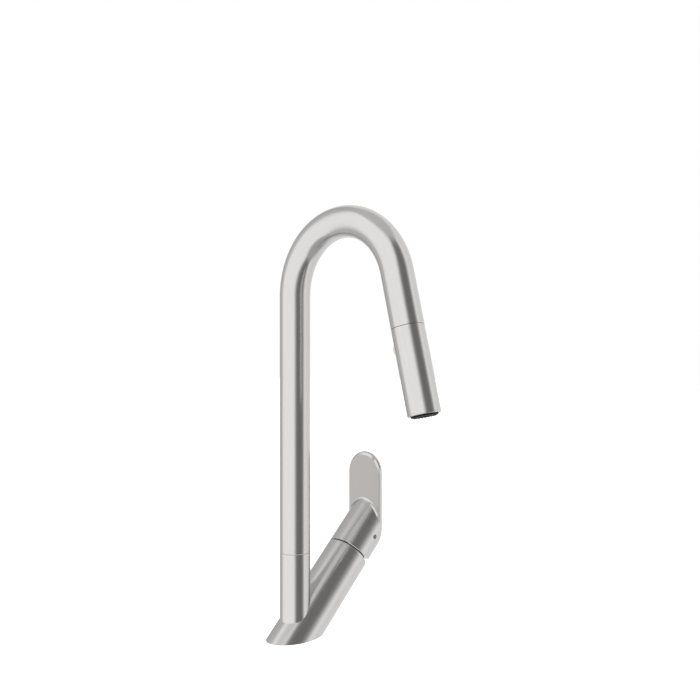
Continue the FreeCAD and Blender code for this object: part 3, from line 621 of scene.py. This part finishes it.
hose = {
    "radius": 5.5 * mm, "low": -58.0 * mm, "split": 2.0 * mm, "end": 24.9 * mm, "pull": 200.0 * mm,
    "columns": 48, "rows": 220, "stretchRows": 260,
}


def hoseGrid(distance):
    # a round hose on the tube's centre line, and each column's share of the way round it
    points = sweptGrid(distance, np.full(len(distance), hose["radius"]), hose["columns"])
    share = np.arange(hose["columns"]) / hose["columns"]
    return points, share


def closedEnds(points):
    first = np.broadcast_to(points[0].mean(0), points[0].shape)
    last = np.broadcast_to(points[-1].mean(0), points[-1].shape)
    return np.concatenate([first[None], points, last[None]])


def makeHoses():
    bendLength = spout["bendRadius"] * bendAngle
    whole = np.linspace(hose["low"] - spout["bendStart"], bendLength + hose["split"], hose["rows"])
    points, share = hoseGrid(whole)
    uv = np.stack(np.broadcast_arrays(share[None, :], whole[:, None]), -1)
    uv = np.concatenate([uv[:1], uv, uv[-1:]])
    points = closedEnds(points)
    piece = surfacePiece("sprayHose", points, gridFaces(len(points), hose["columns"]), uv)
    standFor(piece, "spout", ["spray_hose"], paint["braid"])

    # The last straight stretch is drawn out when the head is pulled. Its map follows the length
    # that each row has when the head is fully down, so that the braid is then at its real size.
    length = hose["end"] - hose["split"]
    rows = np.linspace(0, 1, hose["stretchRows"])
    points, share = hoseGrid(bendLength + hose["split"] + rows * length)
    drawn = rows * length + hose["pull"] * rows ** 2 * (3 - 2 * rows)
    uv = np.stack(np.broadcast_arrays(share[None, :], drawn[:, None]), -1)
    uv = np.concatenate([uv[:1], uv, uv[-1:]])
    points = closedEnds(points)
    piece = surfacePiece("sprayHoseOutlet", points, gridFaces(len(points), hose["columns"]), uv, welded=1e-7)
    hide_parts("spray_hose_outlet")
    piece.data.materials.append(paint["braid"])
    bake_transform(piece)
    print("hoses made")


stageSize = {"floor": 6.0, "drop": 0.0}


def makeFloor():
    # a pale matt table top
    half = stageSize["floor"]
    points = [(-half, -half, stageSize["drop"]), (half, -half, stageSize["drop"]),
              (half, half, stageSize["drop"]), (-half, half, stageSize["drop"])]
    mesh = bpy.data.meshes.new("tableTop")
    mesh.from_pydata(points, [], [(0, 1, 2, 3)])
    floor = bpy.data.objects.new("tableTop", mesh)
    bpy.context.scene.collection.objects.link(floor)
    material, tree, principled = newMaterial(
        "table top, white opal acrylic lit from below", Roughness=0.9,
        **{"Emission Color": (1.0, 1.0, 1.0, 1.0), "Emission Strength": 0.8})
    place = addNode(tree, "ShaderNodeTexCoord").outputs["Object"]
    cloud = addNode(tree, "ShaderNodeTexNoise", {"Scale": 3.0}, {"Vector": place}).outputs["Fac"]
    tree.links.new(colourBetween(tree, cloud, "FAFAFA", "FCFCFC"), principled.inputs["Base Color"])
    mesh.materials.append(material)
    floor.visible_glossy = False    # the steel reflects the studio's lower walls, not the table
    print("table top laid")


view = {
    "place": (-596.8 * mm, -637.6 * mm, 282.5 * mm), "heading": 46.67, "focal": 882.8 * 36 / 700,
}

# A white studio with tall soft-edged boards standing in it, which draw the dark lines that give a
# shiny tube its shape. Headings are degrees round from the camera, positive to its right.
studio = {
    "walls": 1.15, "ceiling": 0.65, "under": 0.5,
    "boards": [
        {"heading": 38, "halfWidth": 14, "soft": 32, "depth": 0.95},     # the dark line right of middle
        {"heading": -132, "halfWidth": 8, "soft": 32, "depth": 0.55},    # the grey line at the left edge
        {"heading": 150, "halfWidth": 40, "soft": 40, "depth": 0.25},    # the fall-off at the right edge
    ],
}


def makeCamera():
    camera = bpy.data.cameras.new("camera")
    camera.sensor_width = 36.0
    camera.lens = view["focal"]
    camera.clip_start = 0.01
    holder = bpy.data.objects.new("camera", camera)
    holder.location = view["place"]
    holder.rotation_euler = (math.pi / 2, 0.0, -math.radians(view["heading"]))
    bpy.context.scene.collection.objects.link(holder)
    bpy.context.scene.camera = holder
    print("camera placed")


def headingWay(degrees):
    # the level direction at a heading round from the camera
    turn = math.radians(view["heading"])
    toCamera = np.array([-math.sin(turn), -math.cos(turn), 0.0])
    toRight = np.array([math.cos(turn), -math.sin(turn), 0.0])
    return toCamera * math.cos(math.radians(degrees)) + toRight * math.sin(math.radians(degrees))


def darkBoard(tree, wall, levelRay, board):
    # takes the board's depth off the wall: all of it inside its half width, none past its soft edge
    facing = addNode(tree, "ShaderNodeVectorMath", {"operation": "DOT_PRODUCT"}, {0: levelRay})
    facing.inputs[1].default_value = headingWay(board["heading"])
    shade = addNode(tree, "ShaderNodeMapRange", {
        "interpolation_type": "SMOOTHSTEP", "To Max": board["depth"],
        "From Min": math.cos(math.radians(board["halfWidth"] + board["soft"])),
        "From Max": math.cos(math.radians(board["halfWidth"]))}, {"Value": facing.outputs["Value"]})
    lit = addNode(tree, "ShaderNodeMath", {"operation": "SUBTRACT"}, {1: shade.outputs["Result"]})
    if isinstance(wall, float):
        lit.inputs[0].default_value = wall
    else:
        tree.links.new(wall, lit.inputs[0])
    return lit.outputs[0]


def blended(tree, height, low, high, first, second):
    # goes from the first colour to the second between two heights, given as sines of elevation
    share = addNode(tree, "ShaderNodeMapRange", {"From Min": low, "From Max": high,
                                                 "interpolation_type": "SMOOTHSTEP"}, {"Value": height})
    mixed = addNode(tree, "ShaderNodeMix", {"data_type": "RGBA"}, {"Factor": share.outputs["Result"]})
    inputs = [socket for socket in mixed.inputs if socket.type == "RGBA"]
    for socket, source in zip(inputs, (first, second)):
        if isinstance(source, float):
            socket.default_value = (source, source, source, 1.0)
        else:
            tree.links.new(source, socket)
    return [socket for socket in mixed.outputs if socket.type == "RGBA"][0]


def makeStudio():
    # what the lens sees behind the faucet is plain white; the metal reflects the studio's soft walls
    world = bpy.data.worlds.new("studio")
    bpy.context.scene.world = world
    world.use_nodes = True
    tree = world.node_tree
    background = tree.nodes["Background"]
    ray = addNode(tree, "ShaderNodeTexCoord").outputs["Generated"]
    flat = addNode(tree, "ShaderNodeVectorMath", {"operation": "MULTIPLY"}, {0: ray})
    flat.inputs[1].default_value = (1.0, 1.0, 0.0)
    levelRay = addNode(tree, "ShaderNodeVectorMath", {"operation": "NORMALIZE"},
                       {0: flat.outputs["Vector"]}).outputs["Vector"]
    height = addNode(tree, "ShaderNodeSeparateXYZ", links={"Vector": ray}).outputs["Z"]
    wall = studio["walls"]
    for board in studio["boards"]:
        wall = darkBoard(tree, wall, levelRay, board)
    wall = blended(tree, height, 0.80, 0.92, wall, studio["ceiling"])
    wall = blended(tree, height, -0.92, -0.80, studio["under"], wall)
    seen = addNode(tree, "ShaderNodeLightPath").outputs["Is Camera Ray"]
    tree.links.new(blended(tree, seen, 0.0, 1.0, wall, 1.0), background.inputs["Color"])
    bpy.context.scene.view_settings.view_transform = "Standard"
    print("studio lit:", len(studio["boards"]), "boards")


makeCamera()
makeStudio()
makeFloor()
finishNodes()
makeSpoutTube()
makeBody()
makeHeadShell()
makeHoses()
